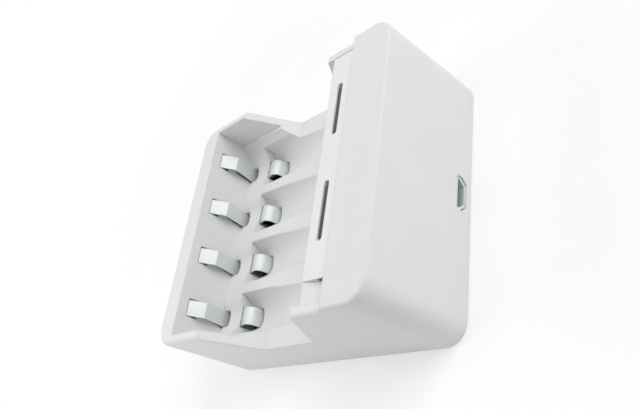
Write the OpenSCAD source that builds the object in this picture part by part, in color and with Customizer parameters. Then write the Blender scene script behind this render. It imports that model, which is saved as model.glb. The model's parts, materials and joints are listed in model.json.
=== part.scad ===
// Four-bay charger for AA and AAA cells, with a USB inlet.
// Lies on its back: +X across the bays, +Y from the spring contacts to the head, +Z up out of the bays.
// Origin at the middle of the back. Lengths in millimetres, angles in degrees.

/* [Bays] */
// Distance between neighbouring bay centres
bay_pitch = 15; // [14.8:0.1:17]
// Radius of the AA trough
aa_r = 7.5; // [7.4:0.1:8]
// Height of the AA trough's floor above the back
aa_floor = 13.4; // [13:0.1:14]
// Height of the flat ridges between the bays
ridge_h = 14.4; // [14:0.1:15.6]
// Clear length of a bay, from the contact wall to the head
bay_l = 51.6; // [50.8:0.1:55]
// Distance from the contact wall to the AAA step
step_l = 7.8; // [7.2:0.1:8.4]
// Radius of the AAA channel
aaa_r = 5.8; // [5.5:0.05:5.95]
// Radius of the wider pocket at the AAA channel's contact end
pocket_r = 6.1; // [6:0.05:6.3]
// Length of the wider pocket
pocket_l = 12.4; // [10:0.1:16]
// Length over which the pocket narrows to the channel
pocket_taper_l = 4; // [2:0.5:8]
// Height of the AAA channel's floor at the step
aaa_floor = 8.9; // [8.7:0.1:9.6]
// Upward slant of the AAA channel towards the head
aaa_tilt = 6.5; // [5.5:0.1:8]

/* [Body] */
// Thickness of the side walls beside the outer bays
side_wall = 2.3; // [2.2:0.1:4]
// Width of the ledge between a side wall and the rim of its trough
wall_ledge = 0.7; // [0.4:0.1:1.2]
// How far that ledge lies below the axis of the trough
ledge_drop = 2; // [1:0.1:3]
// Thickness of the contact wall at the far end from the head
contact_wall = 7.2; // [6.8:0.1:8.5]
// Length of the head beyond the bays
head_l = 19.1; // [18.4:0.1:26]
// Height of the rim round the contact end
rim_h = 28; // [27.4:0.1:29]
// Wall between the positive plates' pockets and the indicator bar
plate_cover = 1.15; // [1:0.05:4]
// Step from the shoulder up to the head's front face
face_step = 1.3; // [0.8:0.1:2]
// Plan radius of the four corners
corner_r = 5.4; // [5:0.1:8]
// Rounding of the contact end's rim
rim_edge_r = 1.2; // [0.5:0.1:1.6]
// Rounding of the head's edges
head_edge_r = 0.8; // [0.4:0.1:1.2]
// Rounding of the edge round the back
back_edge_r = 0.6; // [0.3:0.1:0.8]
// Thickness of the hollow parts' walls
shell = 2; // [1.8:0.1:2.3]

/* [Side notch] */
// Height of the low rim in the side notch
notch_h = 14.2; // [13.4:0.1:15.4]
// Where the notch starts to drop, from the contact end
notch_start = 19.6; // [18:0.1:22]
// Where the notch reaches its low rim, from the contact end
notch_low_start = 28.8; // [26:0.1:31]
// Length of the low rim
notch_low_l = 18.2; // [14:0.1:20]
// Distance from the head's bay face back to the top of the notch
notch_end_gap = 2.3; // [1.5:0.1:4]

/* [Indicator] */
// Width of the indicator bar
bar_w = 7; // [6.6:0.1:7.6]
// Thickness of the indicator bar
bar_t = 1.3; // [1:0.1:1.6]
// Length of one light slot
slot_l = 14; // [10:0.5:16]
// Width of one light slot
slot_w = 1.6; // [1.2:0.1:2]
// Distance between the middles of the two light slots
slot_pitch = 25.6; // [20:0.1:28]
// How deep the light guides lie below the bar's top
guide_recess = 0.7; // [0.3:0.1:1]
// Length of the open recess beside the bar
recess_l = 4.85; // [4:0.05:8]
// How deep the recess gets at the head's front face
recess_drop = 2; // [1.4:0.1:2.4]

/* [Contacts] */
// Thickness of the spring strip
strip_t = 0.4; // [0.3:0.05:0.5]
// Width of an AA spring contact
aa_strip_w = 4.2; // [3.6:0.1:4.6]
// Width of an AAA spring contact
aaa_strip_w = 4.8; // [4:0.1:5]
// How far an AA contact's peak stands out of the contact wall
aa_reach = 2.6; // [2:0.1:3]
// Height of an AA contact's peak above the trough's floor
aa_peak = 7.7; // [7:0.1:9]
// How far an AAA contact's arch stands out of the step
aaa_reach = 4.1; // [3.9:0.1:4.5]
// Outer radius of an AAA contact's arch
aaa_arch_r = 2.2; // [2:0.1:2.4]
// Slant of an AAA contact's top leg down to the step
aaa_leg_lean = 20; // [19:1:24]
// How far an AAA contact's top leg lies under the step's lip
aaa_tuck = 0.8; // [0.4:0.1:1]
// Width of a positive contact plate
plate_w = 10.4; // [9.4:0.1:11]
// Height of a positive contact plate
plate_h = 12; // [11:0.1:13]
// Width of the window in front of a positive plate
window_w = 7.6; // [6.4:0.1:8.2]
// Thickness of the wall in front of the positive plates
window_skin = 0.7; // [0.6:0.05:0.9]

/* [Electronics] */
// Thickness of the circuit boards
board_t = 1.2; // [1:0.1:1.4]
// Height of the underside of the main board
main_board_z = 5.15; // [5:0.05:5.3]
// Height of the underside of the contact board
contact_board_z = 2.4; // [2.2:0.1:2.6]
// Width of the USB shell
usb_w = 7.8; // [7.4:0.1:8.2]
// Height of the USB shell
usb_h = 3; // [2.8:0.1:3.1]
// Depth of the USB shell
usb_l = 5.6; // [5:0.1:6]
// Thickness of the USB shell's metal
usb_wall = 0.4; // [0.3:0.05:0.45]
// Length of the control chip
chip_l = 9.9; // [8:0.1:12]
// Width of the control chip
chip_w = 3.9; // [3:0.1:4.5]
// Height of the control chip
chip_h = 1.6; // [1.4:0.1:2]
// Width of the coil
coil_w = 6; // [5:0.1:7]
// Height of the coil
coil_h = 3.2; // [2.4:0.1:4]
// Radius of a capacitor
can_r = 2.5; // [2:0.1:2.9]
// Height of a capacitor
can_h = 7; // [5:0.1:11]
// Length of an indicator lamp
lamp_l = 2; // [1.6:0.1:3]
// Height of an indicator lamp
lamp_h = 0.8; // [0.6:0.05:0.9]
// Length of a switching transistor
transistor_l = 2.9; // [2.5:0.1:3.4]
// Height of a switching transistor
transistor_h = 1; // [0.8:0.05:1.2]
// Radius of the ground lead
lead_r = 0.5; // [0.4:0.05:0.7]

/* [Cover and fits] */
// Thickness of the bottom cover
cover_t = 1.5; // [1.4:0.1:1.6]
// Clearance between pieces that are set into each other
slip = 0.2; // [0.1:0.05:0.25]
// Clearance round the moving spring contacts
spring_gap = 0.3; // [0.2:0.05:0.4]
// Radius of the screws' shanks
screw_r = 0.9; // [0.8:0.05:1]
// Radius of the screws' heads
head_r = 1.9; // [1.7:0.1:2.1]
// Height of the screws' heads
head_t = 0.9; // [0.8:0.05:1]
// How far a screw goes into its post
screw_depth = 4.4; // [3:0.1:5]

/* [Hidden] */
$fn = 64;
over = 0.5;
bay_count = 4;
outer_bay_x = (bay_count - 1) / 2 * bay_pitch;
inner_w = 2 * (outer_bay_x + aa_r + wall_ledge);
body_w = inner_w + 2 * side_wall;
body_l = contact_wall + bay_l + head_l;
head_y = contact_wall + bay_l;
step_y = contact_wall + step_l;
bar_end_y = head_y + bar_w;
aa_axis_z = aa_floor + aa_r;
cell_r = 7.25;
cell_z = aa_floor + cell_r;
shoulder_h = cell_z + plate_h / 2 + slip + plate_cover + bar_t;
face_h = shoulder_h + face_step;

// Back compartment
ledge_w = 1.2;
ceiling_z = main_board_z + board_t + 0.65;
notch_end = head_y - notch_end_gap;

// Indicator bar, off the middle towards -X
bar_fit = 0.05;
bar_l = inner_w - slip - bar_fit - recess_l;
bar_x = -inner_w / 2 + slip + bar_l / 2;
bar_end_x = bar_x + bar_l / 2;
bar_z = shoulder_h - bar_t;
bar_floor_t = 1.8;
slot_y = head_y + bar_w / 2 - 0.1;
slot_x = [bar_x - slot_pitch / 2, bar_x + slot_pitch / 2];
guide_w = slot_w - 2 * slip;
clip_deep = 1.3;
clip_h = 0.9;
clip_y = [bar_end_y - 3, bar_end_y - 1.4];

// Head
head_wall_t = 2.2;
cavity_y = head_y + head_wall_t;

// Spring contacts: bends of the AA leaf and of the AAA arch as [station, height] along the strip's middle
aa_slot_w = aa_strip_w + spring_gap;
aaa_slot_w = aaa_strip_w + 2 * spring_gap;
aa_root_y = contact_wall + 0.3;
aa_peak_y = contact_wall + aa_reach - strip_t / 2;
aa_peak_z = aa_floor + aa_peak;
aa_slot_low = aa_peak_z + 1.1;
aa_slot_top = aa_peak_z + 4.1;
aa_slot_rise = 0.8;
aa_slot_side = 0.4;
aa_swing = 1;
aa_foot_l = 2.7;
foot_gap = 0.2;
root_z = contact_board_z + board_t + foot_gap;
aaa_front_y = step_y + aaa_reach;
aaa_arch_y = aaa_front_y - aaa_arch_r;
aaa_crown_z = aa_floor + 0.1;
aaa_arch_z = aaa_crown_z - aaa_arch_r;
aaa_slot_end = aaa_front_y + 0.8;
wall_cavity_y = shell;
wall_cavity_t = contact_wall - 1.8 - shell;

// Boards and screws, as [x, station]
board_end_gap = 0.4;
usb_sink = 0.3;
part_gap = 1.2;
parts_y = cavity_y + 9;
coil_x = bay_pitch / 4;
can_x = coil_x + coil_w / 2 + part_gap + can_r;
main_board_y = head_y - 6.3;
main_board_half = [outer_bay_x + 2.6, outer_bay_x - 1];
main_board_neck = cavity_y + 3.6;
contact_board_y = [shell + 2, step_y + 9.2];
contact_board_half = outer_bay_x + 6;
ridge_x = bay_pitch;
contact_screws = [[-ridge_x, step_y + 5.6], [ridge_x, step_y + 5.6]];
main_screws = [[-ridge_x, head_y - 3.3], [ridge_x, head_y - 3.3]];
head_screw_x = outer_bay_x + 4.2;
head_screw_y = body_l - shell - 4.4;
cover_screw_at = [[-ridge_x, step_y + 15], [ridge_x, step_y + 15],
    [-head_screw_x, head_screw_y], [head_screw_x, head_screw_y]];
boss_r = 2.5;

// Stations run along +Y from the outer face of the contact wall.
function st(v) = v - body_l / 2;
function bay_x(i) = (i - (bay_count - 1) / 2) * bay_pitch;

// Outline of a strip of even thickness along a bent path of [station, height] points.
function unit(v) = v / norm(v);
function turn(v) = [-v[1], v[0]];
function along(path, i) = unit(path[min(i + 1, len(path) - 1)] - path[max(i, 0)]);
function side_at(path, i) =
    let (last = len(path) - 1)
    let (before = turn(along(path, max(i - 1, 0))))
    let (after = turn(along(path, min(i, last - 1))))
    let (mid = unit(before + after))
    mid / (mid * after);
function strip_outline(path, t) = concat(
    [for (i = [0 : len(path) - 1]) path[i] + side_at(path, i) * t / 2],
    [for (i = [len(path) - 1 : -1 : 0]) path[i] - side_at(path, i) * t / 2]);

// Block between two stations and two heights, centred on x.
module block(x, w, y0, y1, z0, z1) {
    translate([x - w / 2, st(y0), z0])
        cube([w, y1 - y0, z1 - z0]);
}

// Extrudes a profile of [station, height] points across the bays.
module across(x, w) {
    translate([x - w / 2, st(0), 0])
        rotate([90, 0, 90])
            linear_extrude(w)
                children();
}

// Bar of round section along X through one station and height.
module rod_x(x, w, y, z, r) {
    translate([x - w / 2, st(y), z])
        rotate([0, 90, 0])
            cylinder(h = w, r = r);
}

// Upright post at one [x, station].
module post(at, r, z0, z1) {
    translate([at[0], st(at[1]), z0])
        cylinder(h = z1 - z0, r = r);
}

// Plate with round plan corners, inset from the body's outline.
module inset_plate(inset, z0, z1) {
    w = body_w - 2 * inset;
    l = body_l - 2 * inset;
    r = corner_r - inset;
    translate([-w / 2 + r, -l / 2, z0])
        cube([w - 2 * r, l, z1 - z0]);
    translate([-w / 2, -l / 2 + r, z0])
        cube([w, l - 2 * r, z1 - z0]);
    for (sx = [-1, 1])
        for (sy = [-1, 1])
            translate([sx * (w / 2 - r), sy * (l / 2 - r), z0])
                cylinder(h = z1 - z0, r = r);
}

// Half section of the body's wall: straight, with a round top edge and a round back edge.
module edge_section(reach, h, e) {
    translate([0, back_edge_r])
        square([reach, h - e - back_edge_r]);
    square([reach - back_edge_r, back_edge_r + over]);
    square([reach - e, h]);
    translate([reach - e, h - e])
        circle(e);
    translate([reach - back_edge_r, back_edge_r])
        circle(back_edge_r);
}

module full_section(w, h, e) {
    edge_section(w / 2, h, e);
    mirror([1, 0])
        edge_section(w / 2, h, e);
}

// Solid slab on the body's plan, with rounded edges.
module slab(h, e) {
    for (sx = [-1, 1])
        for (sy = [-1, 1])
            translate([sx * (body_w / 2 - corner_r), sy * (body_l / 2 - corner_r), 0])
                rotate_extrude()
                    edge_section(corner_r, h, e);
    rotate([90, 0, 0])
        linear_extrude(body_l - 2 * corner_r, center = true)
            full_section(body_w, h, e);
    rotate([90, 0, 90])
        linear_extrude(body_w - 2 * corner_r, center = true)
            full_section(body_l, h, e);
}

// Outer form: low contact end, shoulder and head, each with its own height.
module outer_form() {
    wide = body_w + 2 * over;
    intersection() {
        slab(rim_h, rim_edge_r);
        block(0, wide, -over, head_y, -over, rim_h + over);
    }
    intersection() {
        slab(shoulder_h, head_edge_r);
        block(0, wide, notch_low_start + notch_low_l / 2, bar_end_y + 2 * face_step, -over,
            shoulder_h + over);
    }
    intersection() {
        slab(face_h, head_edge_r);
        union() {
            block(0, wide, bar_end_y, body_l + over, -over, shoulder_h);
            block(0, wide, bar_end_y + face_step, body_l + over, -over, face_h + over);
            rod_x(0, wide, bar_end_y + face_step, shoulder_h, face_step);
        }
    }
}

// Drop of the rim on both sides, so that fingers reach the cells.
module side_notches() {
    low_end = notch_low_start + notch_low_l;
    slope_in = (notch_low_start - notch_start) / (rim_h - notch_h);
    slope_out = (notch_end - low_end) / (shoulder_h - notch_h);
    top = shoulder_h + 2;
    w = body_w / 2 - outer_bay_x + over;
    for (s = [-1, 1])
        across(s * (outer_bay_x + w / 2), w)
            polygon([[notch_low_start, notch_h], [low_end, notch_h],
                [low_end + slope_out * (top - notch_h), top],
                [notch_low_start - slope_in * (top - notch_h), top]]);
}

// AA troughs, open above, with flat ridges between them.
module bay_space() {
    top = shoulder_h + 2;
    block(0, 2 * outer_bay_x, contact_wall, head_y, ridge_h, top);
    block(0, inner_w, contact_wall, head_y, aa_axis_z - ledge_drop, top);
    for (i = [0 : bay_count - 1])
        translate([bay_x(i), st(contact_wall), aa_axis_z])
            rotate([-90, 0, 0])
                cylinder(h = bay_l, r = aa_r);
}

// AAA channels: slanted grooves in the trough floors, so both cell sizes meet one positive plate.
// Each is turned about its axis, from a wider pocket at the step along a taper to the plain channel.
module aaa_channels() {
    start = -pocket_r / 4;
    for (i = [0 : bay_count - 1])
        intersection() {
            translate([bay_x(i), st(step_y), aaa_floor + pocket_r])
                rotate([aaa_tilt - 90, 0, 0])
                    rotate_extrude()
                        polygon([[0, start], [pocket_r, start], [pocket_r, pocket_l],
                            [aaa_r, pocket_l + pocket_taper_l], [aaa_r, bay_l], [0, bay_l]]);
            block(bay_x(i), 2 * aa_r, step_y, head_y - over, 0, shoulder_h);
        }
}

// Room for one bay's two spring contacts: foot and wall slot of the AA leaf, and the way of the AAA arch
// through the channel's floor and back under the step's lip.
module spring_room(x) {
    lip = 0.25;
    back = wall_cavity_y + wall_cavity_t - over;
    foot_back = aa_root_y - aa_swing;
    foot_end = contact_wall + aa_foot_l;
    foot_top = aa_floor + 1.2;
    side = spring_gap / 2;
    low = ceiling_z - over;
    across(x, aa_slot_w)
        polygon([[foot_back, low], [foot_end, low], [foot_end, foot_top], [foot_back, foot_top]]);
    across(x - (aa_slot_side - side) / 2, aa_strip_w + aa_slot_side + side)
        polygon([[back, aa_slot_low], [contact_wall + over, aa_slot_low], [contact_wall + over, aa_slot_top],
            [contact_wall, aa_slot_top], [back, aa_slot_top + aa_slot_rise]]);
    across(x, aaa_slot_w)
        polygon([[foot_end - over, low], [aaa_slot_end, low], [aaa_slot_end, aaa_crown_z],
            [step_y + over, aaa_crown_z], [step_y + over, aa_floor - lip], [step_y, aa_floor - lip],
            [foot_end, aa_floor - 2.3], [foot_end - over, aa_floor - 2.3]]);
}

// Pocket behind the head wall for one positive plate, and the window in front of it.
module plate_room(x) {
    w = plate_w + 2 * slip;
    skin_y = head_y + window_skin;
    tail_w = 3 + 2 * slip;
    low = cell_z - plate_h / 2 - slip;
    window_h = 2;
    block(x, w, skin_y, cavity_y + over, low, cell_z + plate_h / 2 + slip);
    block(x, tail_w, skin_y, cavity_y + over, ceiling_z - over, low + over);
    block(x, window_w, head_y - over, skin_y + over, cell_z - window_h / 2, cell_z + window_h / 2);
    for (s = [-1, 1])
        translate([x, st(head_y - over), cell_z + s * window_h / 2])
            rotate([-90, 0, 0])
                cylinder(h = window_skin + 2 * over, d = window_w);
}

// Hollows inside the housing, open to the back.
module hollows() {
    w = body_w - 2 * shell - 2 * ledge_w;
    inset_plate(ledge_w, -over, cover_t);
    inset_plate(ledge_w + shell / 2, cover_t - over, ceiling_z);
    block(0, w, wall_cavity_y, wall_cavity_y + wall_cavity_t, ceiling_z - over, rim_h - shell);
    block(0, w, cavity_y, bar_end_y + face_step, ceiling_z - over, bar_z - bar_floor_t);
    block(0, w, bar_end_y + face_step - over, body_l - shell - ledge_w, ceiling_z - over, face_h - shell);
}

// Seat of the indicator bar, the sloping recess beside it and the openings under both.
module bar_seat() {
    recess_x = bar_end_x + bar_fit + recess_l / 2;
    block(bar_x - (slip - bar_fit) / 2, bar_l + slip + bar_fit, head_y - over, bar_end_y, bar_z,
        shoulder_h + over);
    across(recess_x, recess_l)
        polygon([[head_y - over, shoulder_h + over], [head_y - over, shoulder_h], [head_y, shoulder_h],
            [bar_end_y, shoulder_h - recess_drop], [bar_end_y, shoulder_h + over]]);
    for (x = slot_x)
        light_slot(x, slot_l, slot_w, bar_z - bar_floor_t - over, bar_z + over);
    block(bar_end_x - clip_deep / 2, clip_deep, clip_y[0], clip_y[1], bar_z - bar_floor_t - over,
        bar_z + over);
}

// Upright slot with round ends.
module light_slot(x, l, w, z0, z1) {
    block(x, l - w, slot_y - w / 2, slot_y + w / 2, z0, z1);
    for (s = [-1, 1])
        post([x + s * (l - w) / 2, slot_y], w / 2, z0, z1);
}

// Mouth for the USB shell in the end wall: wide towards the front, chamfered towards the back.
module usb_section(grow) {
    w = usb_w / 2 + grow;
    top = main_board_z + grow;
    low = main_board_z - usb_h - grow;
    chamfer = usb_h / 2;
    polygon([[-w, top], [-w, low + chamfer], [-w + chamfer * 0.85, low], [w - chamfer * 0.85, low],
        [w, low + chamfer], [w, top]]);
}

module usb_prism(grow, y0, y1) {
    translate([0, st(y1), 0])
        rotate([90, 0, 0])
            linear_extrude(y1 - y0)
                usb_section(grow);
}

// Moulded housing with the bays, both walls and the head in one piece.
module housing() {
    color("whitesmoke")
        difference() {
            union() {
                difference() {
                    outer_form();
                    hollows();
                }
                for (at = contact_screws)
                    post(at, boss_r, contact_board_z + board_t, ceiling_z + over);
                for (at = main_screws)
                    post(at, boss_r, main_board_z + board_t, ceiling_z + over);
                for (i = [0 : 1])
                    post(cover_screw_at[i], boss_r, cover_t, ceiling_z + over);
                for (i = [2 : 3])
                    post(cover_screw_at[i], boss_r, cover_t, face_h - shell / 2);
            }
            side_notches();
            bay_space();
            aaa_channels();
            bar_seat();
            usb_prism(slip, body_l - shell - ledge_w - over, body_l + over);
            for (i = [0 : bay_count - 1])
                spring_room(bay_x(i));
            for (i = [0 : bay_count - 1])
                plate_room(bay_x(i));
            for (at = concat(contact_screws, main_screws, cover_screw_at))
                post(at, screw_r + slip / 2, 0, main_board_z + board_t + screw_depth);
        }
}

// Flat cover over the back, with sunk screw heads and posts under the contact board.
module bottom_cover() {
    posts = [[-outer_bay_x, contact_board_y[1] - 2], [outer_bay_x, contact_board_y[1] - 2]];
    color("whitesmoke")
        difference() {
            union() {
                inset_plate(ledge_w + slip, 0, cover_t);
                for (at = posts)
                    post(at, boss_r, cover_t - over, contact_board_z);
            }
            for (at = cover_screw_at)
                post(at, screw_r + slip, -over, cover_t + over);
            for (at = cover_screw_at)
                post(at, head_r + slip, -over, head_t);
        }
}

// Bar along the shoulder with two light slots and a clip notch under its end.
module indicator_bar() {
    color("white")
        difference() {
            block(bar_x, bar_l, head_y, bar_end_y - bar_fit, bar_z, shoulder_h);
            for (x = slot_x)
                light_slot(x, slot_l, slot_w, bar_z - over, shoulder_h + over);
            block(bar_end_x, 2 * clip_deep, clip_y[0], clip_y[1], bar_z - over, bar_z + clip_h);
        }
}

// Fan-shaped light guide: a blade in the slot that narrows down to its lamp.
module light_guide(i) {
    top = shoulder_h - guide_recess;
    blade = slot_l - slot_w - 2 * slip;
    neck = 3;
    blade_z = bar_z - bar_floor_t - 1;
    foot_z = main_board_z + board_t + lamp_h + spring_gap;
    color("dimgray")
        translate([slot_x[i], st(slot_y + guide_w / 2), 0])
            rotate([90, 0, 0])
                linear_extrude(guide_w)
                    polygon([[-blade / 2, top], [-blade / 2, blade_z], [-neck / 2, foot_z + neck],
                        [-neck / 2, foot_z], [neck / 2, foot_z], [neck / 2, foot_z + neck],
                        [blade / 2, blade_z], [blade / 2, top]]);
}

module light_guide_left() {
    light_guide(0);
}

module light_guide_right() {
    light_guide(1);
}

// Folded leaf that rises from the contact board, leans into the bay and tucks into the wall's slot.
module aa_contact(i) {
    path = [[aa_root_y, root_z], [aa_root_y, aa_floor - 2.4], [aa_root_y + 0.5, aa_floor + 0.4],
        [aa_peak_y, aa_peak_z], [contact_wall - 0.4, aa_peak_z + 4], [contact_wall - 1.2, aa_peak_z + 4.3]];
    color("silver")
        across(bay_x(i), aa_strip_w)
            polygon(strip_outline(path, strip_t));
}

module aa_contact_1() {
    aa_contact(0);
}

module aa_contact_2() {
    aa_contact(1);
}

module aa_contact_3() {
    aa_contact(2);
}

module aa_contact_4() {
    aa_contact(3);
}

// Leaf that rises through the channel's floor and bends over in a round arch towards the step.
module aaa_contact(i) {
    x = bay_x(i);
    reach = aaa_arch_r + over;
    leg_l = (aaa_arch_y - step_y + aaa_tuck - aaa_arch_r * sin(aaa_leg_lean)) / cos(aaa_leg_lean);
    color("silver") {
        block(x, aaa_strip_w, aaa_front_y - strip_t, aaa_front_y, root_z, aaa_arch_z);
        intersection() {
            difference() {
                rod_x(x, aaa_strip_w, aaa_arch_y, aaa_arch_z, aaa_arch_r);
                rod_x(x, aaa_strip_w + 2 * over, aaa_arch_y, aaa_arch_z, aaa_arch_r - strip_t);
            }
            across(x, aaa_strip_w + 2 * over)
                translate([aaa_arch_y, aaa_arch_z])
                    polygon([[0, 0], [reach, 0], [reach, reach], [-reach * tan(aaa_leg_lean), reach]]);
        }
        translate([x - aaa_strip_w / 2, st(aaa_arch_y), aaa_arch_z])
            rotate([aaa_leg_lean, 0, 0])
                translate([0, -leg_l, aaa_arch_r - strip_t])
                    cube([aaa_strip_w, leg_l, strip_t]);
    }
}

module aaa_contact_1() {
    aaa_contact(0);
}

module aaa_contact_2() {
    aaa_contact(1);
}

module aaa_contact_3() {
    aaa_contact(2);
}

module aaa_contact_4() {
    aaa_contact(3);
}

// Flat plate behind its window, with a tail down through the main board.
module positive_contact(i) {
    x = bay_x(i);
    y = head_y + window_skin;
    low = cell_z - plate_h / 2;
    color("silver") {
        block(x, plate_w, y, y + strip_t, low, cell_z + plate_h / 2);
        block(x, 3, y, y + strip_t, main_board_z - 0.6, low + over);
    }
}

module positive_contact_1() {
    positive_contact(0);
}

module positive_contact_2() {
    positive_contact(1);
}

module positive_contact_3() {
    positive_contact(2);
}

module positive_contact_4() {
    positive_contact(3);
}

// Narrow board under the contact end that carries the feet of all spring contacts.
module contact_board() {
    color("seagreen")
        difference() {
            block(0, 2 * contact_board_half, contact_board_y[0], contact_board_y[1], contact_board_z,
                contact_board_z + board_t);
            for (at = contact_screws)
                post(at, screw_r + slip, 0, ceiling_z);
        }
}

// Main board under the head, stepped in beside the head's screw posts.
module main_board() {
    tail_y = head_y + window_skin;
    end = body_l - shell - ledge_w - board_end_gap;
    top = main_board_z + board_t;
    color("seagreen")
        difference() {
            union() {
                block(0, 2 * main_board_half[0], main_board_y, main_board_neck, main_board_z, top);
                block(0, 2 * main_board_half[1], main_board_neck - over, end, main_board_z, top);
            }
            for (i = [0 : bay_count - 1])
                block(bay_x(i), 3 + 2 * slip, tail_y - slip, tail_y + strip_t + slip, 0, ceiling_z);
            for (at = main_screws)
                post(at, screw_r + slip, 0, ceiling_z);
        }
}

// Pressed shell of the USB inlet, open towards the end face, hung under the main board.
module usb_shell() {
    mouth = body_l - usb_sink;
    color("gainsboro")
        difference() {
            usb_prism(0, mouth - usb_l, mouth);
            usb_prism(-usb_wall, mouth - usb_l + usb_wall, mouth + over);
        }
}

// Insulating tongue inside the inlet, with its row of contacts on the underside.
module usb_tongue() {
    back = body_l - usb_sink - usb_l + usb_wall;
    tongue_l = usb_l - usb_wall - 1;
    top = main_board_z - usb_wall - 0.5;
    color("darkslategray") {
        block(0, usb_w - 1.6, back, back + 1, main_board_z - usb_h / 2 - 0.2, main_board_z - usb_wall);
        block(0, usb_w - 3, back, back + tongue_l, top - 0.6, top);
    }
    color("gold")
        for (i = [-2 : 2])
            block(i * 0.65, 0.35, back + 1, back + tongue_l - 0.3, top - 0.75, top - 0.6);
}

// One small lamp under each light guide.
module indicator_leds() {
    z = main_board_z + board_t;
    color("ivory")
        for (x = slot_x)
            block(x, lamp_l, slot_y - lamp_l * 0.3, slot_y + lamp_l * 0.3, z, z + lamp_h);
}

// Control circuit with a row of legs on each side.
module controller_chip() {
    z = main_board_z + board_t;
    y = parts_y;
    x = -bay_pitch * 0.6;
    leg_t = 0.2;
    leg_w = 0.4;
    leg_out = 1.05;
    legs = 8;
    leg_pitch = (chip_l - 1) / (legs - 1);
    half = chip_w / 2;
    reach = half + leg_out;
    color("black")
        block(x, chip_l, y - half, y + half, z + leg_t, z + chip_h);
    color("silver")
        for (i = [0 : legs - 1])
            block(x + (i - (legs - 1) / 2) * leg_pitch, leg_w, y - reach, y + reach, z, z + leg_t);
}

// Square-based coil of the voltage converter.
module power_inductor() {
    z = main_board_z + board_t;
    at = [coil_x, parts_y];
    half = coil_w / 2;
    flange_t = coil_h / 4;
    top = z + coil_h;
    color("gray") {
        block(at[0], coil_w, at[1] - half, at[1] + half, z, z + flange_t);
        post(at, half * 0.7, z + flange_t, top - flange_t);
        post(at, half * 0.95, top - flange_t, top);
    }
}

// Two round can capacitors beside the coil.
module filter_capacitors() {
    z = main_board_z + board_t;
    color("silver")
        for (i = [0, 1])
            post([can_x + i * (2 * can_r + part_gap), parts_y], can_r, z, z + can_h);
}

// One switching transistor per bay near the plates' tails.
module charge_transistors() {
    y = main_screws[0][1];
    half = transistor_l * 0.22;
    color("black")
        for (i = [0 : bay_count - 1])
            block(bay_x(i), transistor_l, y - half, y + half, main_board_z - transistor_h, main_board_z);
}

// Insulated lead that joins the spring contacts' board to the main board.
module ground_lead() {
    lap = 3;
    y0 = contact_board_y[1] - lap;
    y1 = main_board_y + lap;
    z0 = contact_board_z + board_t + lead_r;
    z1 = main_board_z - lead_r;
    rise = atan2(z1 - z0, y1 - y0);
    color("black")
        translate([0, st(y0), z0])
            rotate([-90 + rise, 0, 0])
                cylinder(h = norm([y1 - y0, z1 - z0]), r = lead_r);
}

// Pan-head screw driven up from the back, its head's top at a given height.
module screw(at, z, l) {
    difference() {
        union() {
            post(at, head_r, z - head_t, z);
            post(at, screw_r, z - over, z + l);
        }
        for (a = [0, 90])
            translate([at[0], st(at[1]), z - head_t])
                rotate([0, 0, a])
                    cube([2, 0.45, 0.8], center = true);
    }
}

module cover_screws() {
    color("lightgray")
        for (at = cover_screw_at)
            screw(at, head_t, cover_t + screw_depth);
}

module board_screws() {
    color("lightgray") {
        for (at = contact_screws)
            screw(at, contact_board_z, board_t + screw_depth);
        for (at = main_screws)
            screw(at, main_board_z, board_t + screw_depth - 1);
    }
}

housing();
bottom_cover();
indicator_bar();
light_guide_left();
light_guide_right();
aa_contact_1();
aa_contact_2();
aa_contact_3();
aa_contact_4();
aaa_contact_1();
aaa_contact_2();
aaa_contact_3();
aaa_contact_4();
positive_contact_1();
positive_contact_2();
positive_contact_3();
positive_contact_4();
contact_board();
main_board();
usb_shell();
usb_tongue();
indicator_leds();
controller_chip();
power_inductor();
filter_capacitors();
charge_transistors();
ground_lead();
cover_screws();
board_screws();
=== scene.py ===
"""Looks of a flat four-bay charger for two cell sizes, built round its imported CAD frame."""

from __future__ import annotations

import json
import logging
import math
from dataclasses import dataclass, field
from enum import Enum

import bmesh
import bpy
from mathutils import Matrix, Vector

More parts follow.
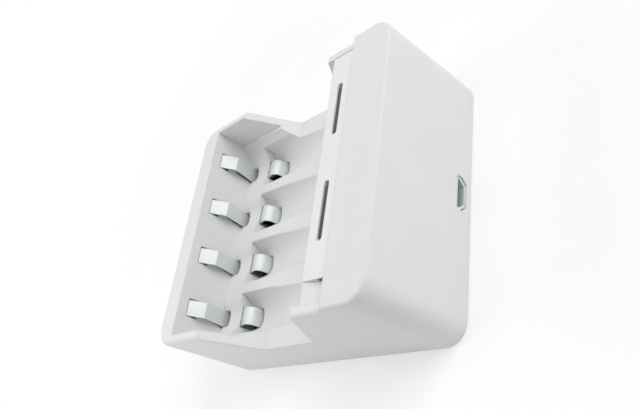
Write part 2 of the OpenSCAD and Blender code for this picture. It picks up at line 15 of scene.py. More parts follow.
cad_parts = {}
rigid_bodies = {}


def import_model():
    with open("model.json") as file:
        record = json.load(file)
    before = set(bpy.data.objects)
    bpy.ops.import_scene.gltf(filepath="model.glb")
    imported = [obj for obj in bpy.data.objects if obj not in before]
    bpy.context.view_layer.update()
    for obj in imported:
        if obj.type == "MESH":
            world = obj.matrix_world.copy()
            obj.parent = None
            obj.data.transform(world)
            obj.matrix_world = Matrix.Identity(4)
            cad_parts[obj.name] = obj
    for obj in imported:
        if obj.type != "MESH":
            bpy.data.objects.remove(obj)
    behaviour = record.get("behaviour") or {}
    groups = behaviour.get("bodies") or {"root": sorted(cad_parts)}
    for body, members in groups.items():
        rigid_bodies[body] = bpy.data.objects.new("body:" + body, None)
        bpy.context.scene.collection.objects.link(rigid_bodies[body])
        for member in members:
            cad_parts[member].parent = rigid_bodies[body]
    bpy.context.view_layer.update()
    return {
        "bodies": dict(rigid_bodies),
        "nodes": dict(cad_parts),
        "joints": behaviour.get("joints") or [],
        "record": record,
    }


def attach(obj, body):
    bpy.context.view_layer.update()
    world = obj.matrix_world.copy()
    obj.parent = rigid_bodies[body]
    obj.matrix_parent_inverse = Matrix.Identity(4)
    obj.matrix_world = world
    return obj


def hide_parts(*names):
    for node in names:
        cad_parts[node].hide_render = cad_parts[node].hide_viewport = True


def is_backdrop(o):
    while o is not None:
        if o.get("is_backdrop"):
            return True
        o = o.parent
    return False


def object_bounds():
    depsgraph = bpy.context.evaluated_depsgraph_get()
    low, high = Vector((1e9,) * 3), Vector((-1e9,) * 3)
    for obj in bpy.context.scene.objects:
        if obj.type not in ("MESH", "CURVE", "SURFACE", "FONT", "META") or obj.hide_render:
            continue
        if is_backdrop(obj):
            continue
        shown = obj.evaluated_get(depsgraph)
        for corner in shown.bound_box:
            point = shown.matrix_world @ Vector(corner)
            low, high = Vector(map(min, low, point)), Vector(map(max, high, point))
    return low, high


LOG = logging.getLogger("charger")
MM = 0.001
BASE_BODY = "charger"
BAY_COUNT = 4
BAY_PITCH_MM = 15.0
NOISE_SPAN = (0.3, 0.7)  # nearly all of a noise's values lie between these
MERGE_MM = 0.002  # corners of a CAD mesh closer than this are one corner
FLAT_DEG = 0.3  # faces that turn less than this are one face

Colour = tuple[float, float, float]
Place = tuple[float, float, float]
Pair = tuple[float, float]


class Slot(Enum):
    """The record's material slots."""

    WHITE = "white_plastic"
    BAR = "white_bar"
    GUIDE = "smoked_guide"
    STRIP = "nickel_strip"
    SHELL = "plated_steel"
    BOARD = "circuit_board"
    DARK = "dark_plastic"
    LAMP = "lamp"
    FERRITE = "ferrite"
    CAN = "capacitor_can"
    LEAD = "lead_sleeve"
    SCREW = "screw_steel"


class Grain(Enum):
    """How fast a metal's rolling marks change along X, Y and Z."""

    ALONG_X = (0.04, 1.0, 1.0)
    ALONG_Z = (1.0, 0.35, 0.04)
    NONE = (1.0, 1.0, 1.0)


class NodeSheet:
    """Builds one material's node tree in a few words a line."""

    bump_strength: float = 0.6
    edge_samples: int = 6

    def __init__(self, name: str) -> None:
        """Starts an empty material with a Principled shader.

        Args:
            name: the material's name.
        """
        self.material = bpy.data.materials.new(name)
        self.material.use_nodes = True
        self.tree = self.material.node_tree
        self.shader = self.tree.nodes["Principled BSDF"]
        self.place = self.tree.nodes.new("ShaderNodeTexCoord").outputs["Object"]

    def link(self, source: bpy.types.NodeSocket, target: bpy.types.NodeSocket) -> None:
        """Joins two sockets."""
        self.tree.links.new(source, target)

    def noise(
        self, size_mm: float, detail: float = 3.0, stretch: Colour = (1.0, 1.0, 1.0)
    ) -> bpy.types.NodeSocket:
        """Adds a noise whose blotches are about one size.

        Args:
            size_mm: width of a blotch.
            detail: how many finer layers it has.
            stretch: how fast the noise runs along X, Y and Z.

        Returns:
            The noise's value socket.
        """
        mapping = self.tree.nodes.new("ShaderNodeMapping")
        mapping.inputs["Scale"].default_value = stretch
        self.link(self.place, mapping.inputs["Vector"])
        texture = self.tree.nodes.new("ShaderNodeTexNoise")
        texture.inputs["Scale"].default_value = 1.0 / (size_mm * MM)
        texture.inputs["Detail"].default_value = detail
        self.link(mapping.outputs["Vector"], texture.inputs["Vector"])
        return texture.outputs[0]

    def spread(self, value: bpy.types.NodeSocket, low: float, high: float) -> bpy.types.NodeSocket:
        """Maps a noise value onto a range.

        Args:
            value: the noise.
            low: result at the noise's low end.
            high: result at the noise's high end.

        Returns:
            The mapped value's socket.
        """
        ranged = self.tree.nodes.new("ShaderNodeMapRange")
        ranged.inputs["From Min"].default_value = NOISE_SPAN[0]
        ranged.inputs["From Max"].default_value = NOISE_SPAN[1]
        ranged.inputs["To Min"].default_value = low
        ranged.inputs["To Max"].default_value = high
        self.link(value, ranged.inputs["Value"])
        return ranged.outputs["Result"]

    def tint(self, value: bpy.types.NodeSocket, first: Colour, second: Colour) -> None:
        """Colours the shader between two colours by a noise.

        Args:
            value: the noise.
            first: colour at the low end.
            second: colour at the high end.
        """
        mix = self.tree.nodes.new("ShaderNodeMix")
        mix.data_type = "RGBA"
        colours = [s for s in mix.inputs if s.type == "RGBA"]
        colours[0].default_value = (*first, 1.0)
        colours[1].default_value = (*second, 1.0)
        self.link(self.spread(value, 0.0, 1.0), mix.inputs["Factor"])
        result = next(s for s in mix.outputs if s.type == "RGBA")
        self.link(result, self.shader.inputs["Base Color"])

    def roughen(self, value: bpy.types.NodeSocket, low: float, high: float) -> None:
        """Varies the shader's roughness by a noise."""
        self.link(self.spread(value, low, high), self.shader.inputs["Roughness"])

    def bump(self, height: bpy.types.NodeSocket, depth_mm: float, edge_mm: float = 0.0) -> None:
        """Adds fine relief to the shader, and takes the sharpness off the edges.

        Args:
            height: the relief's height from 0 to 1.
            depth_mm: how deep the relief is.
            edge_mm: radius of the softened edges, none at 0.
        """
        bump = self.tree.nodes.new("ShaderNodeBump")
        bump.inputs["Strength"].default_value = self.bump_strength
        bump.inputs["Distance"].default_value = depth_mm * MM
        self.link(height, bump.inputs["Height"])
        if edge_mm > 0.0:
            edge = self.tree.nodes.new("ShaderNodeBevel")
            edge.samples = self.edge_samples
            edge.inputs["Radius"].default_value = edge_mm * MM
            self.link(edge.outputs["Normal"], bump.inputs["Normal"])
        self.link(bump.outputs["Normal"], self.shader.inputs["Normal"])


def seen_rays(tree: bpy.types.NodeTree) -> bpy.types.NodeSocket:
    """Adds a test for the rays that show a background: from the camera, a mirror or glass.

    Args:
        tree: the node tree of a stage material or of the world.

    Returns:
        A socket that is 1 on such a ray and 0 on all others.
    """
    path = tree.nodes.new("ShaderNodeLightPath")
    seen = path.outputs["Is Camera Ray"]
    for kind in ("Is Glossy Ray", "Is Transmission Ray"):
        either = tree.nodes.new("ShaderNodeMath")
        either.operation = "MAXIMUM"
        tree.links.new(seen, either.inputs[0])
        tree.links.new(path.outputs[kind], either.inputs[1])
        seen = either.outputs[0]
    return seen


def shade(colour: Colour, share: float) -> Colour:
    """Returns a colour made darker or lighter by a share."""
    return tuple(min(1.0, c * share) for c in colour)


@dataclass(frozen=True)
class MouldedPlastic:
    """Moulded plastic with a faint mottle and a fine spark-eroded grain."""

    name: str
    colour: Colour
    roughness: float
    mottle: float = 0.02
    mottle_mm: float = 9.0
    grain_mm: float = 0.28
    grain_depth_mm: float = 0.008
    grain_detail: float = 2.0
    roughness_swing: float = 0.05
    edge_mm: float = 0.0
    gloss: float = 0.5

    def material(self) -> bpy.types.Material:
        """Returns the finish as a node material."""
        sheet = NodeSheet(self.name)
        sheet.shader.inputs["Specular IOR Level"].default_value = self.gloss
        sheet.tint(sheet.noise(self.mottle_mm), shade(self.colour, 1.0 - self.mottle), self.colour)
        grain = sheet.noise(self.grain_mm, self.grain_detail)
        swing = self.roughness_swing
        sheet.roughen(grain, self.roughness - swing, self.roughness + swing)
        sheet.bump(grain, self.grain_depth_mm, self.edge_mm)
        return sheet.material


@dataclass(frozen=True)
class RolledMetal:
    """Plated sheet metal with rolling marks and a cloudy tarnish."""

    name: str
    colour: Colour
    roughness: float
    grain: Grain = Grain.NONE
    tarnish: float = 0.03
    tarnish_mm: float = 2.4
    mark_mm: float = 0.12
    mark_depth_mm: float = 0.001
    mark_detail: float = 2.0
    roughness_swing: Pair = (-0.05, 0.07)
    metallic: float = 1.0

    def material(self) -> bpy.types.Material:
        """Returns the finish as a node material."""
        sheet = NodeSheet(self.name)
        sheet.shader.inputs["Metallic"].default_value = self.metallic
        clouds = sheet.noise(self.tarnish_mm)
        sheet.tint(clouds, shade(self.colour, 1.0 - self.tarnish), self.colour)
        marks = sheet.noise(self.mark_mm, self.mark_detail, self.grain.value)
        less, more = self.roughness_swing
        sheet.roughen(marks, self.roughness + less, self.roughness + more)
        sheet.bump(marks, self.mark_depth_mm)
        return sheet.material


@dataclass(frozen=True)
class CircuitBoard:
    """Solder mask over copper, with the tracks showing as paler lanes."""

    name: str
    mask: Colour
    track: Colour
    wave_mm: float = 26.0
    wander: float = 6.0
    lane_height_mm: float = 0.02
    speck_mm: float = 0.5
    roughness: Pair = (0.3, 0.42)

    def material(self) -> bpy.types.Material:
        """Returns the finish as a node material."""
        sheet = NodeSheet(self.name)
        lanes = sheet.tree.nodes.new("ShaderNodeTexWave")
        lanes.wave_profile = "TRI"
        lanes.inputs["Scale"].default_value = 1.0 / (self.wave_mm * MM)
        lanes.inputs["Distortion"].default_value = self.wander
        lanes.inputs["Detail"].default_value = 1.0
        sheet.link(sheet.place, lanes.inputs["Vector"])
        sheet.tint(lanes.outputs["Fac"], self.mask, self.track)
        sheet.roughen(sheet.noise(self.speck_mm), *self.roughness)
        sheet.bump(lanes.outputs["Fac"], self.lane_height_mm)
        return sheet.material


FINISHES = {
    Slot.WHITE: MouldedPlastic(
        "white_moulding", (0.745, 0.745, 0.745), 0.65, gloss=0.3, edge_mm=0.6
    ),
    Slot.BAR: MouldedPlastic("bar_moulding", (0.78, 0.78, 0.78), 0.5, edge_mm=0.2),
    Slot.GUIDE: MouldedPlastic(
        "smoked_guide", (0.05, 0.05, 0.052), 0.4, mottle=0.15, mottle_mm=2.0
    ),
    Slot.STRIP: RolledMetal(
        "nickel_strip", (0.69, 0.73, 0.712), 0.62, Grain.ALONG_Z, metallic=0.35
    ),
    Slot.SHELL: RolledMetal(
        "plated_shell", (0.68, 0.77, 0.735), 0.45, Grain.ALONG_X, metallic=0.4
    ),
    Slot.BOARD: CircuitBoard("solder_mask", (0.02, 0.13, 0.05), (0.05, 0.24, 0.1)),
    Slot.DARK: MouldedPlastic(
        "dark_moulding", (0.035, 0.042, 0.04), 0.5, mottle=0.2, mottle_mm=1.5
    ),
    Slot.LAMP: MouldedPlastic("lamp_resin", (0.72, 0.69, 0.55), 0.2, mottle=0.1, mottle_mm=0.6),
    Slot.FERRITE: MouldedPlastic("ferrite", (0.09, 0.09, 0.095), 0.6, mottle=0.25, mottle_mm=0.8),
    Slot.CAN: RolledMetal("drawn_can", (0.66, 0.67, 0.69), 0.25, Grain.ALONG_Z),
    Slot.LEAD: MouldedPlastic("lead_sleeve", (0.03, 0.03, 0.03), 0.45, mottle=0.15, mottle_mm=1.2),
    Slot.SCREW: RolledMetal("zinc_screw", (0.58, 0.59, 0.6), 0.35),
}


class ShapeTree:
    """Builds one Geometry Nodes tree with named inputs and bakes meshes with it."""

    def __init__(self, name: str, numbers: list[str]) -> None:
        """Starts a tree with a shape, some numbers and a finish as its inputs.

        Args:
            name: the tree's name.
            numbers: names of its number inputs.
        """
        self.tree = bpy.data.node_groups.new(name, "GeometryNodeTree")
        sockets = self.tree.interface
        sockets.new_socket("Shape", in_out="INPUT", socket_type="NodeSocketGeometry")
        for number in numbers:
            sockets.new_socket(number, in_out="INPUT", socket_type="NodeSocketFloat")
        sockets.new_socket("Finish", in_out="INPUT", socket_type="NodeSocketMaterial")
        sockets.new_socket("Shape", in_out="OUTPUT", socket_type="NodeSocketGeometry")
        self.given = self.tree.nodes.new("NodeGroupInput").outputs

    def add(self, kind: str, output: str, mode: str = "", **inputs: object) -> bpy.types.NodeSocket:
        """Adds a node, with links or plain values at its inputs.

        Args:
            kind: the node's type name.
            output: name of the socket wanted from it.
            mode: the node's mode, if it isn't the usual one.
            inputs: its inputs by name, with underscores for spaces.

        Returns:
            The node's output socket.
        """
        node = self.tree.nodes.new(kind)
        if mode:
            node.mode = mode
        for name, value in inputs.items():
            self.feed(node.inputs[name.replace("_", " ")], value)
        return node.outputs[output]

    def feed(self, socket: bpy.types.NodeSocket, value: object) -> None:
        """Links a socket to an input, or sets a plain value on it.

        Args:
            socket: the input.
            value: a socket or a plain value.
        """
        if isinstance(value, bpy.types.NodeSocket):
            self.tree.links.new(value, socket)
        else:
            socket.default_value = value

    def math(self, operation: str, first: object, second: object) -> bpy.types.NodeSocket:
        """Adds a calculation with two numbers or sockets.

        Args:
            operation: what to do with them.
            first: the first number or socket.
            second: the second number or socket.

        Returns:
            The result's socket.
        """
        result = self.tree.nodes.new("ShaderNodeMath")
        result.operation = operation
        for socket, value in zip(result.inputs, (first, second)):
            self.feed(socket, value)
        return result.outputs[0]

    def close(self, shape: bpy.types.NodeSocket) -> None:
        """Ends the tree with real geometry in its finish.

        Args:
            shape: the finished shape's socket.
        """
        real = self.add("GeometryNodeRealizeInstances", "Geometry", Geometry=shape)
        finish = self.given["Finish"]
        done = self.add("GeometryNodeSetMaterial", "Geometry", Geometry=real, Material=finish)
        self.tree.links.new(done, self.tree.nodes.new("NodeGroupOutput").inputs["Shape"])

    def bake(
        self, base: bpy.types.Mesh, numbers: dict[str, float], finish: bpy.types.Material
    ) -> bpy.types.Mesh:
        """Runs the tree on a mesh.

        Args:
            base: the mesh it starts from, which is used up.
            numbers: values of its number inputs.
            finish: the material of the result.

        Returns:
            The result as a plain mesh.
        """
        holder = bpy.data.objects.new(self.tree.name, base)
        bpy.context.scene.collection.objects.link(holder)
        modifier = holder.modifiers.new(self.tree.name, "NODES")
        modifier.node_group = self.tree
        values = {**numbers, "Finish": finish}
        for item in self.tree.interface.items_tree:
            if item.in_out == "INPUT" and item.name in values:
                modifier[item.identifier] = values[item.name]
        seen = holder.evaluated_get(bpy.context.evaluated_depsgraph_get())
        mesh = bpy.data.meshes.new_from_object(seen)
        bpy.data.objects.remove(holder)
        bpy.data.meshes.remove(base)
        return mesh


class StripTree(ShapeTree):
    """Bends a metal strip of even section along a row of points."""

    bend_steps: int = 8
    edge_steps: int = 3

    def __init__(self) -> None:
        """Builds the tree."""
        super().__init__("bent_strip", ["Width", "Thickness", "Bend radius", "Edge radius"])
        line = self.add("GeometryNodeMeshToCurve", "Curve", Mesh=self.given["Shape"])
        path = self.fillet(line, self.given["Bend radius"], self.bend_steps)
        section = self.add(
            "GeometryNodeCurvePrimitiveQuadrilateral",
            "Curve",
            Width=self.given["Width"],
            Height=self.given["Thickness"],
        )
        profile = self.fillet(section, self.given["Edge radius"], self.edge_steps)
        swept = self.add(
            "GeometryNodeCurveToMesh", "Mesh", Curve=path, Profile_Curve=profile, Fill_Caps=True
        )
        self.close(swept)

    def fillet(
        self, curve: bpy.types.NodeSocket, radius: bpy.types.NodeSocket, steps: int
    ) -> bpy.types.NodeSocket:
        """Rounds a curve's corners.

        Args:
            curve: the curve.
            radius: the corners' radius.
            steps: how many steps a corner has.

        Returns:
            The rounded curve's socket.
        """
        return self.add(
            "GeometryNodeFilletCurve",
            "Curve",
            "POLY",
            Curve=curve,
            Count=steps,
            Radius=radius,
            Limit_Radius=True,
        )


class ScrewTree(ShapeTree):
    """Sets one pan-head screw with a cross recess on every point of a mesh."""

    sides: int = 48
    rim_height_share: float = 0.45
    rim_radius_share: float = 0.84
    arm_length_share: float = 4.4
    arm_height_share: float = 0.7

    def __init__(self) -> None:
        """Builds the tree."""
        super().__init__(
            "cross_screws",
            ["Head radius", "Head height", "Shank radius", "Shank length", "Recess width"],
        )
        head_r = self.given["Head radius"]
        head_t = self.given["Head height"]
        rim_t = self.math("MULTIPLY", head_t, self.rim_height_share)
        rim_r = self.math("MULTIPLY", head_r, self.rim_radius_share)
        rim = self.lathe(rim_r, head_r, rim_t, 0.0)
        disc = self.lathe(head_r, head_r, self.math("SUBTRACT", head_t, rim_t), rim_t)
        shank_r = self.given["Shank radius"]
        shank = self.lathe(shank_r, shank_r, self.given["Shank length"], head_t)
        arms = [self.recess(turn) for turn in (0.0, math.pi / 2)]
        solid = self.combine("UNION", [rim, disc, shank])
        screw = self.combine("DIFFERENCE", arms, solid)
        places = self.given["Shape"]
        self.close(
            self.add("GeometryNodeInstanceOnPoints", "Instances", Points=places, Instance=screw)
        )

    def lathe(
        self, low_r: object, high_r: object, height: object, start: object
    ) -> bpy.types.NodeSocket:
        """Adds a round stub.

        Args:
            low_r: radius at its lower end.
            high_r: radius at its upper end.
            height: how tall it is.
            start: height of its lower end.

        Returns:
            The stub's mesh socket.
        """
        stub = self.add(
            "GeometryNodeMeshCone",
            "Mesh",
            Vertices=self.sides,
            Radius_Top=high_r,
            Radius_Bottom=low_r,
            Depth=height,
        )
        return self.lift(stub, start)

    def combine(
        self,
        operation: str,
        parts: list[bpy.types.NodeSocket],
        whole: bpy.types.NodeSocket | None = None,
    ) -> bpy.types.NodeSocket:
        """Unites meshes into one solid, or takes them from another one.

        Args:
            operation: UNION or DIFFERENCE.
            parts: the meshes that are united or taken.
            whole: the mesh that they are taken from, if any.

        Returns:
            The resulting mesh's socket.
        """
        node = self.tree.nodes.new("GeometryNodeMeshBoolean")
        node.operation = operation
        node.solver = "EXACT"
        if whole is not None:
            self.tree.links.new(whole, node.inputs["Mesh 1"])
        for part in parts:
            self.tree.links.new(part, node.inputs["Mesh 2"])
        return node.outputs["Mesh"]

    def lift(self, mesh: bpy.types.NodeSocket, height: object) -> bpy.types.NodeSocket:
        """Moves a mesh up.

        Args:
            mesh: the mesh.
            height: how far it goes up.

        Returns:
            The moved mesh's socket.
        """
        offset = self.add("ShaderNodeCombineXYZ", "Vector", Z=height)
        return self.add("GeometryNodeTransform", "Geometry", Geometry=mesh, Translation=offset)

    def recess(self, turn: float) -> bpy.types.NodeSocket:
        """Adds one arm of the cross recess as a block to cut away.

        Args:
            turn: its angle about the screw's axis.

        Returns:
            The block's mesh socket.
        """
        width = self.given["Recess width"]
        size = self.add(
            "ShaderNodeCombineXYZ",
            "Vector",
            X=self.math("MULTIPLY", width, self.arm_length_share),
            Y=width,
            Z=self.math("MULTIPLY", self.given["Head height"], self.arm_height_share),
        )
        block = self.add("GeometryNodeMeshCube", "Mesh", Size=size)
        return self.add(
            "GeometryNodeTransform", "Geometry", Geometry=block, Rotation=(0.0, 0.0, turn)
        )


class Workshop:
    """Keeps the frame and the finished materials, and turns meshes into pieces."""

    def __init__(self, frame: dict) -> None:
        """Makes every finish's material.
        """
        self.frame = frame
        self.start_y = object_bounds()[0].y
        self.materials = {slot: finish.material() for slot, finish in FINISHES.items()}

    def place(self, x_mm: float, station_mm: float, z_mm: float) -> Vector:
        """Turns a place on the charger into the frame's metres.

        Args:
            x_mm: how far across the bays.
            station_mm: how far from the contact end's outer face.
            z_mm: height above the back.

        Returns:
            The place in metres.
        """
        return Vector((x_mm * MM, self.start_y + station_mm * MM, z_mm * MM))

    def paint_node(self, node: str, slot: Slot) -> None:
        """Gives a CAD node that is shown as it is its finish.

        Args:
            node: the node's name.
            slot: the finish it takes.
        """
        obj = self.frame["nodes"][node]
        obj.data.materials.clear()
        obj.data.materials.append(self.materials[slot])
        LOG.info("painted %s with %s", node, slot.value)

    def add_piece(
        self, name: str, mesh: bpy.types.Mesh, slot: Slot, body: str, replaced: str
    ) -> None:
        """Puts a finished mesh in the scene in place of a CAD node.

        Args:
            name: the new piece's name.
            mesh: its mesh, with its place in its vertices.
            slot: the finish it takes.
            body: the CAD body it rides on.
            replaced: the CAD node it stands for.
        """
        obj = bpy.data.objects.new(name, mesh)
        bpy.context.scene.collection.objects.link(obj)
        mesh.materials.clear()
        mesh.materials.append(self.materials[slot])
        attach(obj, body)
        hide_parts(replaced)
        LOG.info("made %s for %s", name, replaced)

    def cut(self, mesh: bpy.types.Mesh, tool: bpy.types.Mesh) -> bpy.types.Mesh:
        """Cuts one closed mesh out of another, and uses both up.

        Args:
            mesh: the mesh to cut.
            tool: what is taken away from it.

        Returns:
            The cut mesh.
        """
        whole, taken = (bpy.data.objects.new(m.name, m) for m in (mesh, tool))
        for obj in (whole, taken):
            bpy.context.scene.collection.objects.link(obj)
        modifier = whole.modifiers.new("cut", "BOOLEAN")
        modifier.operation = "DIFFERENCE"
        modifier.solver = "EXACT"
        modifier.object = taken
        seen = whole.evaluated_get(bpy.context.evaluated_depsgraph_get())
        result = bpy.data.meshes.new_from_object(seen)
        for obj in (whole, taken):
            bpy.data.objects.remove(obj)
        for used in (mesh, tool):
            bpy.data.meshes.remove(used)
        return result

    def node_mesh(self, node: str, name: str, tool: bpy.types.Mesh | None = None) -> bpy.types.Mesh:
        """Copies a CAD node's mesh, with its loose triangles merged into whole faces.

        Args:
            node: the node's name.
            name: the new mesh's name.
            tool: a closed mesh to cut out of it, if any.

        Returns:
            The merged mesh.
        """
        work = bmesh.new()
        work.from_mesh(self.frame["nodes"][node].data)
        bmesh.ops.remove_doubles(work, verts=work.verts, dist=MERGE_MM * MM)
        if tool is not None:
            closed = bpy.data.meshes.new(name)
            work.to_mesh(closed)
            work.clear()
            work.from_mesh(self.cut(closed, tool))
        bmesh.ops.dissolve_limit(
            work, angle_limit=math.radians(FLAT_DEG), verts=work.verts, edges=work.edges
        )
        mesh = bpy.data.meshes.new(name)
        work.to_mesh(mesh)
        work.free()
        stale = mesh.attributes.get("custom_normal")
        if stale is not None:
            mesh.attributes.remove(stale)
        return mesh


def bay_x_mm(number: int) -> float:
    """Returns how far a bay's middle lies across the charger, from its number."""
    return (number - (BAY_COUNT + 1) / 2) * BAY_PITCH_MM


def smooth_within(mesh: bpy.types.Mesh, angle_deg: float) -> None:
    """Shades a mesh smooth, apart from edges sharper than an angle.

    Args:
        mesh: the mesh.
        angle_deg: the sharpest turn that still looks round.
    """
    mesh.shade_smooth()
    mesh.set_sharp_from_angle(angle=math.radians(angle_deg))


@dataclass
class Mouldings:
    """The moulded pieces: housing, bottom cover, indicator bar and light guides."""

    shop: Workshop
    round_deg: float = 28.0
    slot_mm: tuple[Pair, ...] = ((-1.8, 14.3), (2.1, 14.3), (1.35, 19.2), (-1.8, 19.2))
    slot_stations_mm: Pair = (5.2, 7.4)
    guide_rise_mm: float = 0.4
    pieces: dict[str, Slot] = field(
        default_factory=lambda: {
            "housing": Slot.WHITE,
            "bottom_cover": Slot.WHITE,
            "indicator_bar": Slot.BAR,
            "light_guide_left": Slot.GUIDE,
            "light_guide_right": Slot.GUIDE,
        }
    )

    def build(self) -> None:
        """Makes a smoothly shaded copy of every moulding, with its last details."""
        tools = {"housing": self.relief_slots()}
        for node, slot in self.pieces.items():
            mesh = self.shop.node_mesh(node, f"{node}_skin", tools.get(node))
            if slot is Slot.GUIDE:
                self.raise_top(mesh)
            smooth_within(mesh, self.round_deg)
            self.shop.add_piece(f"{node}_skin", mesh, slot, BASE_BODY, node)

    def raise_top(self, mesh: bpy.types.Mesh) -> None:
        """Brings a light guide's top nearer to the bar's.

        Args:
            mesh: the guide's mesh.
        """
        rise = self.guide_rise_mm * MM
        top = max(vert.co.z for vert in mesh.vertices)
        for vert in mesh.vertices:
            if vert.co.z > top - rise:
                vert.co.z += rise

    def relief_slots(self) -> bpy.types.Mesh:
        """Makes the blocks that cut a tapered slot in the contact wall behind each AA leaf.

        Returns:
            All the blocks as one mesh.
        """
        work = bmesh.new()
        for number in range(1, BAY_COUNT + 1):
            middle = bay_x_mm(number)
            rings = [
                [work.verts.new(self.shop.place(middle + x, station, z)) for x, z in self.slot_mm]
                for station in self.slot_stations_mm
            ]
            inner, outer = rings
            work.faces.new(inner)
            work.faces.new(reversed(outer))
            for i, vert in enumerate(inner):
                work.faces.new((inner[i - 1], vert, outer[i], outer[i - 1]))
        bmesh.ops.recalc_face_normals(work, faces=work.faces)
        mesh = bpy.data.meshes.new("relief_slots")
        work.to_mesh(mesh)
        work.free()
        return mesh


@dataclass(frozen=True)
class LeafShape:
    """Bends of a spring contact, as stations and heights along the strip's middle."""

    size: str
    width_mm: float
    bend_r_mm: float
    bends_mm: tuple[Pair, ...]
    thickness_mm: float = 0.4
    edge_r_mm: float = 0.07


LEAVES = (
    LeafShape(
        "aa",
        width_mm=4.2,
        bend_r_mm=0.4,
        bends_mm=((7.5, 3.8), (7.5, 11.0), (8.0, 13.8), (9.6, 21.1), (6.8, 25.1), (6.0, 25.4)),
    ),
    LeafShape(
        "aaa",
        width_mm=4.8,
        bend_r_mm=2.0,
        bends_mm=((18.9, 3.8), (18.9, 14.156), (14.268, 12.47)),
    ),
)


@dataclass
class SpringContacts:
    """The eight spring contacts, each bent along its own path."""

    shop: Workshop
    round_deg: float = 30.0

    def build(self) -> None:
        """Makes both contacts of every bay."""
        tree = StripTree()
        for leaf in LEAVES:
            for number in range(1, BAY_COUNT + 1):
                self.bend(tree, leaf, number)

    def bend(self, tree: StripTree, leaf: LeafShape, number: int) -> None:
        """Bends one contact.

        Args:
            tree: the strip's Geometry Nodes tree.
            leaf: the contact's shape.
            number: the bay's number.
        """
        points = [self.shop.place(bay_x_mm(number), *bend) for bend in leaf.bends_mm]
        base = bpy.data.meshes.new("bends")
        base.from_pydata(points, [(i, i + 1) for i in range(len(points) - 1)], [])
        sizes = {
            "Width": leaf.width_mm * MM,
            "Thickness": leaf.thickness_mm * MM,
            "Bend radius": leaf.bend_r_mm * MM,
            "Edge radius": leaf.edge_r_mm * MM,
        }
        mesh = tree.bake(base, sizes, self.shop.materials[Slot.STRIP])
        smooth_within(mesh, self.round_deg)
        node = f"{leaf.size}_contact_{number}"
        self.shop.add_piece(f"{node}_strip", mesh, Slot.STRIP, f"{leaf.size}_leaf_{number}", node)


@dataclass
class CoverScrews:
    """The four screws that hold the bottom cover."""

    shop: Workshop
    places_mm: tuple[Pair, ...] = ((-15.0, 30.0), (15.0, 30.0), (-26.7, 71.5), (26.7, 71.5))
    head_r_mm: float = 1.9
    head_t_mm: float = 0.9
    shank_r_mm: float = 0.9
    shank_l_mm: float = 5.9
    recess_w_mm: float = 0.5
    round_deg: float = 25.0

    def build(self) -> None:
        """Sets all four screws as one piece."""
        base = bpy.data.meshes.new("screw_places")
        places = [self.shop.place(x, station, 0.0) for x, station in self.places_mm]
        base.from_pydata(places, [], [])
        sizes = {
            "Head radius": self.head_r_mm * MM,
            "Head height": self.head_t_mm * MM,
            "Shank radius": self.shank_r_mm * MM,
            "Shank length": self.shank_l_mm * MM,
            "Recess width": self.recess_w_mm * MM,
        }
        mesh = ScrewTree().bake(base, sizes, self.shop.materials[Slot.SCREW])
        smooth_within(mesh, self.round_deg)
        self.shop.add_piece("cover_screw_set", mesh, Slot.SCREW, BASE_BODY, "cover_screws")


@dataclass
class MetalWork:
    """Positive plates and USB shell."""

    shop: Workshop
    round_deg: float = 25.0

    def build(self) -> None:
        """Makes a smoothly shaded copy of every plain metal piece."""
        for number in range(1, BAY_COUNT + 1):
            self.add(f"positive_contact_{number}", Slot.STRIP)
        self.add("usb_shell", Slot.SHELL)

    def add(self, node: str, slot: Slot) -> None:
        """Makes one smoothly shaded copy.

        Args:
            node: the CAD node it stands for.
            slot: its finish.
        """
        mesh = self.shop.node_mesh(node, f"{node}_skin")
        smooth_within(mesh, self.round_deg)
        self.shop.add_piece(f"{node}_skin", mesh, slot, BASE_BODY, node)


@dataclass
class Electronics:
    """The circuit parts inside, shown as the CAD has them."""

    shop: Workshop
    pieces: dict[str, Slot] = field(
        default_factory=lambda: {
            "contact_board": Slot.BOARD,
            "main_board": Slot.BOARD,
            "usb_tongue": Slot.DARK,
            "indicator_leds": Slot.LAMP,
            "controller_chip": Slot.DARK,
            "power_inductor": Slot.FERRITE,
            "filter_capacitors": Slot.CAN,
            "charge_transistors": Slot.DARK,
            "ground_lead": Slot.LEAD,
            "board_screws": Slot.SCREW,
        }
    )

    def build(self) -> None:
        """Paints every circuit part."""
        for node, slot in self.pieces.items():
            self.shop.paint_node(node, slot)


@dataclass
class Lamp:
    """One large soft studio lamp."""

    name: str
    place_mm: Place
    width_mm: float
    power: float
    aim_mm: Place = (0.0, 0.0, 10.0)

    def build(self) -> None:
        """Puts the lamp in the scene, turned to its aim."""
        light = bpy.data.lights.new(self.name, "AREA")
        light.shape = "SQUARE"
        light.size = self.width_mm * MM
        light.energy = self.power
        obj = bpy.data.objects.new(self.name, light)
        bpy.context.scene.collection.objects.link(obj)
        place = Vector(self.place_mm) * MM
        obj.location = place
        obj.rotation_mode = "QUATERNION"
        obj.rotation_quaternion = (Vector(self.aim_mm) * MM - place).to_track_quat("-Z", "Y")


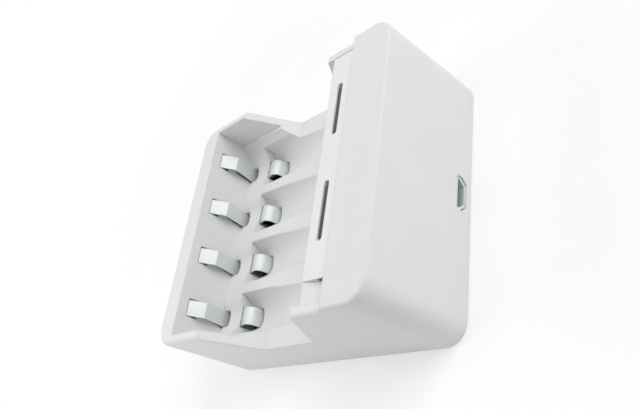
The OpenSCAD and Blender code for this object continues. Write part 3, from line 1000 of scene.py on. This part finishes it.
@dataclass
class Studio:
    """Pale floor, soft lamps, even sky and the camera."""

    floor_half_mm: float = 6000.0
    floor_colour: Colour = (0.97, 0.97, 0.97)
    floor_shade: float = 0.995
    floor_blotch_mm: float = 60.0
    floor_roughness: float = 0.9
    floor_white: Pair = (0.35, 1.0)
    floor_fade_mm: Pair = (60.0, 190.0)
    sky_colour: Colour = (1.0, 1.0, 1.0)
    sky_strength: float = 0.40
    camera_mm: Place = (67.246, 114.966, 104.109)
    aim_mm: Place = (-6.114, -1.844, 10.0)
    roll_deg: float = -62.352
    lens_mm: float = 35.65
    sensor_mm: float = 36.0
    nearest_mm: float = 5.0
    lamps: list[Lamp] = field(
        default_factory=lambda: [
            Lamp("key", (-240.0, 360.0, 365.0), 400.0, 1.7),
            Lamp("top", (0.0, 0.0, 650.0), 380.0, 0.72),
            Lamp("back_fill", (60.0, -260.0, 200.0), 200.0, 0.25),
            Lamp("right_fill", (110.0, -60.0, 80.0), 80.0, 0.02),
        ]
    )

    def build(self) -> None:
        """Builds the whole studio."""
        self.build_floor()
        self.build_sky()
        for lamp in self.lamps:
            lamp.build()
        self.build_camera()

    def build_floor(self) -> None:
        """Lays a wide pale floor under the back of the charger."""
        half = self.floor_half_mm * MM
        mesh = bpy.data.meshes.new("floor")
        corners = [(-half, -half, 0.0), (half, -half, 0.0), (half, half, 0.0), (-half, half, 0.0)]
        mesh.from_pydata(corners, [], [(0, 1, 2, 3)])
        sheet = NodeSheet("pale_floor")
        blotches = sheet.noise(self.floor_blotch_mm)
        sheet.tint(blotches, shade(self.floor_colour, self.floor_shade), self.floor_colour)
        sheet.shader.inputs["Roughness"].default_value = self.floor_roughness
        sheet.shader.inputs["Specular IOR Level"].default_value = 0.0
        self.whiten_floor(sheet)
        mesh.materials.append(sheet.material)
        floor = bpy.data.objects.new("floor", mesh)
        bpy.context.scene.collection.objects.link(floor)
        floor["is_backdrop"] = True

    def whiten_floor(self, sheet: NodeSheet) -> None:
        """Fades the floor to white away from the object, as the camera and metal see it.

        Args:
            sheet: the floor's material.
        """
        nodes = sheet.tree.nodes
        reach = nodes.new("ShaderNodeVectorMath")
        reach.operation = "LENGTH"
        sheet.link(sheet.place, reach.inputs[0])
        fade = nodes.new("ShaderNodeMapRange")
        fade.interpolation_type = "SMOOTHSTEP"
        fade.inputs["From Min"].default_value = self.floor_fade_mm[0] * MM
        fade.inputs["From Max"].default_value = self.floor_fade_mm[1] * MM
        fade.inputs["To Min"].default_value = self.floor_white[0]
        fade.inputs["To Max"].default_value = self.floor_white[1]
        sheet.link(reach.outputs["Value"], fade.inputs["Value"])
        share = nodes.new("ShaderNodeMath")
        share.operation = "MULTIPLY"
        sheet.link(fade.outputs["Result"], share.inputs[0])
        sheet.link(seen_rays(sheet.tree), share.inputs[1])
        white = nodes.new("ShaderNodeEmission")
        mix = nodes.new("ShaderNodeMixShader")
        sheet.link(share.outputs[0], mix.inputs["Fac"])
        sheet.link(sheet.shader.outputs["BSDF"], mix.inputs[1])
        sheet.link(white.outputs["Emission"], mix.inputs[2])
        sheet.link(mix.outputs["Shader"], nodes["Material Output"].inputs["Surface"])

    def build_sky(self) -> None:
        """Sets an even sky that gives soft light and looks white."""
        world = bpy.data.worlds.new("even_sky")
        world.use_nodes = True
        tree = world.node_tree
        sky = tree.nodes["Background"]
        sky.inputs["Color"].default_value = (*self.sky_colour, 1.0)
        strength = tree.nodes.new("ShaderNodeMapRange")
        strength.inputs["To Min"].default_value = self.sky_strength
        strength.inputs["To Max"].default_value = 1.0
        tree.links.new(seen_rays(tree), strength.inputs["Value"])
        tree.links.new(strength.outputs["Result"], sky.inputs["Strength"])
        bpy.context.scene.world = world

    def build_camera(self) -> None:
        """Places the camera where the photograph was taken from."""
        lens = bpy.data.cameras.new("camera")
        lens.sensor_fit = "HORIZONTAL"
        lens.sensor_width = self.sensor_mm
        lens.lens = self.lens_mm
        lens.clip_start = self.nearest_mm * MM
        camera = bpy.data.objects.new("camera", lens)
        bpy.context.scene.collection.objects.link(camera)
        place = Vector(self.camera_mm) * MM
        look = (Vector(self.aim_mm) * MM - place).to_track_quat("-Z", "Y").to_matrix().to_4x4()
        roll = Matrix.Rotation(math.radians(self.roll_deg), 4, "Z")
        camera.matrix_world = Matrix.Translation(place) @ look @ roll
        bpy.context.scene.camera = camera


def main() -> None:
    """Builds the charger's looks and its studio."""
    logging.basicConfig(level=logging.INFO, format="%(name)s: %(message)s")
    for stale in list(bpy.data.objects):
        bpy.data.objects.remove(stale)
    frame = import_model()
    shop = Workshop(frame)
    Mouldings(shop).build()
    SpringContacts(shop).build()
    CoverScrews(shop).build()
    MetalWork(shop).build()
    Electronics(shop).build()
    Studio().build()
    bpy.context.scene.view_settings.view_transform = "Standard"


if __name__ == "__main__":
    main()
